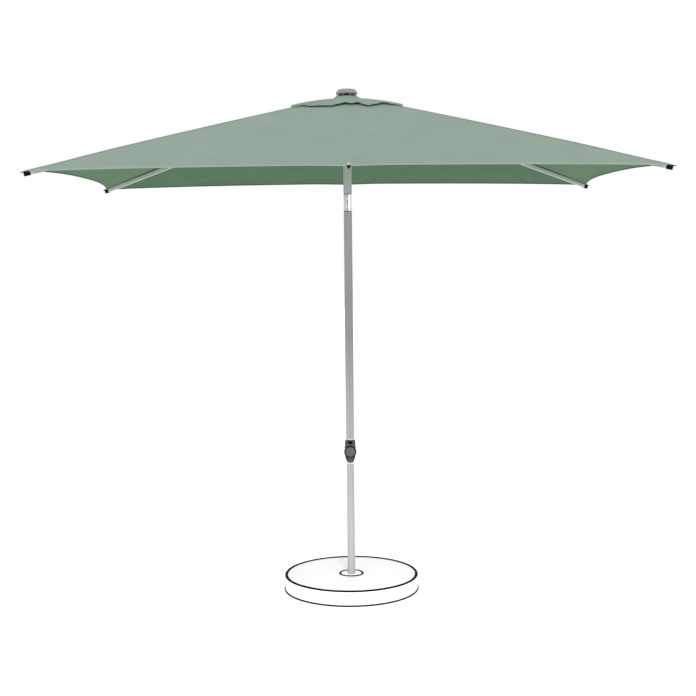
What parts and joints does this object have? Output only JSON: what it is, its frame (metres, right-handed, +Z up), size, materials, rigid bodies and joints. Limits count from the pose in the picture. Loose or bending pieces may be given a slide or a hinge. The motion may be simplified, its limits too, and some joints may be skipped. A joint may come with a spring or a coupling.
{
  "type": "patio umbrella with base",
  "caption": "Rectangular centre-pole patio umbrella with folding rib canopy, vented top, tilting telescopic pole with clamp knob, and a round ballast base.",
  "frame": {"origin": "centre of the base's underside, on the floor", "axes": "+Z up along the pole, +X along the canopy's long side, +Y along its short side away from the clamp knob; the knob faces -Y"},
  "size_m": [3.0058, 2.008, 2.719],
  "materials": {
    "cover_white": "satin",
    "concrete": "matte",
    "plate_steel": "satin",
    "rubber_black": "matte",
    "socket_steel": "satin",
    "pole_light": "satin",
    "black_plastic": "matte",
    "pole_silver": "satin",
    "collar_grey": "satin",
    "bush_light": "satin",
    "brass": "satin",
    "chrome": "polished",
    "pin_steel": "satin",
    "knob_grey": "satin",
    "finial_grey": "satin",
    "runner_grey": "satin",
    "rib_silver": "satin",
    "tip_black": "satin",
    "canopy_green": "matte"
  },
  "bodies": {
    "base": {"base_cover": "cover_white", "base_ballast": "concrete", "base_plate": "plate_steel", "base_rims": "rubber_black", "socket_tube": "socket_steel", "cover_ring": "cover_white", "cover_seal": "rubber_black"},
    "lower_mast": {"lower_pole": "pole_light", "pole_foot": "black_plastic"},
    "upper_mast": {"upper_pole": "pole_silver", "clamp_collar": "collar_grey", "clamp_ring": "bush_light", "collar_bush": "bush_light", "clamp_nut": "brass", "tilt_lower_knuckle": "chrome", "tilt_pin": "pin_steel", "tilt_spring": "pin_steel"},
    "clamp_shoe": {"clamp_pad": "black_plastic"},
    "clamp_handle": {"clamp_knob": "knob_grey", "clamp_screw": "pin_steel"},
    "tilt_lock": {"tilt_button": "black_plastic"},
    "canopy_mast": {"tilt_upper_knuckle": "chrome", "canopy_pole": "pole_silver", "hub": "black_plastic", "hub_pins": "pin_steel", "finial_base": "finial_grey", "finial_cap": "finial_grey", "vent_flap": "canopy_green", "catch_spring": "pin_steel"},
    "runner_lock": {"runner_catch": "pin_steel"},
    "slider": {"runner": "runner_grey", "runner_pins": "pin_steel"},
    "rib_arm_1": {"rib_1": "rib_silver", "rib_hub_end_1": "black_plastic", "rib_bracket_1": "black_plastic", "bracket_pin_1": "pin_steel", "rib_tip_1": "tip_black", "canopy_quarter_1": "canopy_green"},
    "strut_arm_1": {"strut_1": "rib_silver"},
    "rib_arm_2": {"rib_2": "rib_silver", "rib_hub_end_2": "black_plastic", "rib_bracket_2": "black_plastic", "bracket_pin_2": "pin_steel", "rib_tip_2": "tip_black", "canopy_quarter_2": "canopy_green"},
    "strut_arm_2": {"strut_2": "rib_silver"},
    "rib_arm_3": {"rib_3": "rib_silver", "rib_hub_end_3": "black_plastic", "rib_bracket_3": "black_plastic", "bracket_pin_3": "pin_steel", "rib_tip_3": "tip_black", "canopy_quarter_3": "canopy_green"},
    "strut_arm_3": {"strut_3": "rib_silver"},
    "rib_arm_4": {"rib_4": "rib_silver", "rib_hub_end_4": "black_plastic", "rib_bracket_4": "black_plastic", "bracket_pin_4": "pin_steel", "rib_tip_4": "tip_black", "canopy_quarter_4": "canopy_green"},
    "strut_arm_4": {"strut_4": "rib_silver"}
  },
  "joints": [
    {"name": "pole_turn", "type": "hinge", "parent": "base", "child": "lower_mast", "pos_m": [0, 0, 0.04], "axis": [0, 0, 1], "continuous": true},
    {"name": "height_slide", "type": "slide", "parent": "lower_mast", "child": "upper_mast", "axis": [0, 0, 1], "range_m": [-0.3, 0.2]},
    {"name": "shoe_slide", "type": "slide", "parent": "upper_mast", "child": "clamp_shoe", "axis": [0, -1, 0], "range_m": [0, 0.003]},
    {"name": "knob_turn", "type": "hinge", "parent": "clamp_shoe", "child": "clamp_handle", "pos_m": [0, -0.05, 0.769], "axis": [0, -1, 0], "range_deg": [0, 720]},
    {"name": "tilt", "type": "hinge", "parent": "upper_mast", "child": "canopy_mast", "pos_m": [0, 0, 2.117], "axis": [1, 0, 0], "range_deg": [0, 35]},
    {"name": "tilt_button_press", "type": "slide", "parent": "upper_mast", "child": "tilt_lock", "axis": [-1, 0, 0], "range_m": [0, 0.003], "stiffness_N_per_m": 600, "springref_m": -0.004, "deforming": ["tilt_spring"]},
    {"name": "runner_catch_spring", "type": "slide", "parent": "canopy_mast", "child": "runner_lock", "axis": [0, 1, 0], "range_m": [0, 0.005], "stiffness_N_per_m": 400, "springref_m": 0.012, "deforming": ["catch_spring"]},
    {"name": "rib_fold", "type": "hinge", "parent": "canopy_mast", "child": "rib_arm_1", "pos_m": [0.04576, 0.03051, 2.63283], "axis": [0.5547, -0.8321, 0], "range_deg": [-73.71, 0], "deforming": ["canopy_quarter_1", "vent_flap"]},
    {"name": "strut_swing_1", "type": "hinge", "parent": "rib_arm_1", "child": "strut_arm_1", "pos_m": [0.53061, 0.35374, 2.48983], "axis": [-0.5547, 0.8321, 0], "range_deg": [-147.52, 0]},
    {"name": "rib_fold_2", "type": "hinge", "parent": "canopy_mast", "child": "rib_arm_2", "pos_m": [-0.04576, 0.03051, 2.63283], "axis": [0.5547, 0.8321, 0], "range_deg": [-73.71, 0], "deforming": ["canopy_quarter_2"]},
    {"name": "strut_swing_2", "type": "hinge", "parent": "rib_arm_2", "child": "strut_arm_2", "pos_m": [-0.53061, 0.35374, 2.48983], "axis": [-0.5547, -0.8321, 0], "range_deg": [-147.52, 0]},
    {"name": "rib_fold_3", "type": "hinge", "parent": "canopy_mast", "child": "rib_arm_3", "pos_m": [-0.04576, -0.03051, 2.63283], "axis": [-0.5547, 0.8321, 0], "range_deg": [-73.71, 0], "deforming": ["canopy_quarter_3"]},
    {"name": "strut_swing_3", "type": "hinge", "parent": "rib_arm_3", "child": "strut_arm_3", "pos_m": [-0.53061, -0.35374, 2.48983], "axis": [0.5547, -0.8321, 0], "range_deg": [-147.52, 0]},
    {"name": "rib_fold_4", "type": "hinge", "parent": "canopy_mast", "child": "rib_arm_4", "pos_m": [0.04576, -0.03051, 2.63283], "axis": [-0.5547, -0.8321, 0], "range_deg": [-73.71, 0], "deforming": ["canopy_quarter_4"]},
    {"name": "strut_swing_4", "type": "hinge", "parent": "rib_arm_4", "child": "strut_arm_4", "pos_m": [0.53061, -0.35374, 2.48983], "axis": [0.5547, 0.8321, 0], "range_deg": [-147.52, 0]},
    {"name": "runner_swing", "type": "hinge", "parent": "strut_arm_1", "child": "slider", "pos_m": [0.04576, 0.03051, 2.34684], "axis": [0.5547, -0.8321, 0], "range_deg": [-73.76, 0]}
  ],
  "couplings": [
    {"joint": "shoe_slide", "follows": "knob_turn", "m_per_rad": 0.00023873},
    {"joint": "strut_swing_1", "follows": "rib_fold", "ratio": 2},
    {"joint": "rib_fold_2", "follows": "rib_fold", "ratio": 1},
    {"joint": "strut_swing_2", "follows": "rib_fold", "ratio": 2},
    {"joint": "rib_fold_3", "follows": "rib_fold", "ratio": 1},
    {"joint": "strut_swing_3", "follows": "rib_fold", "ratio": 2},
    {"joint": "rib_fold_4", "follows": "rib_fold", "ratio": 1},
    {"joint": "strut_swing_4", "follows": "rib_fold", "ratio": 2},
    {"joint": "runner_swing", "follows": "rib_fold", "ratio": 1}
  ]
}
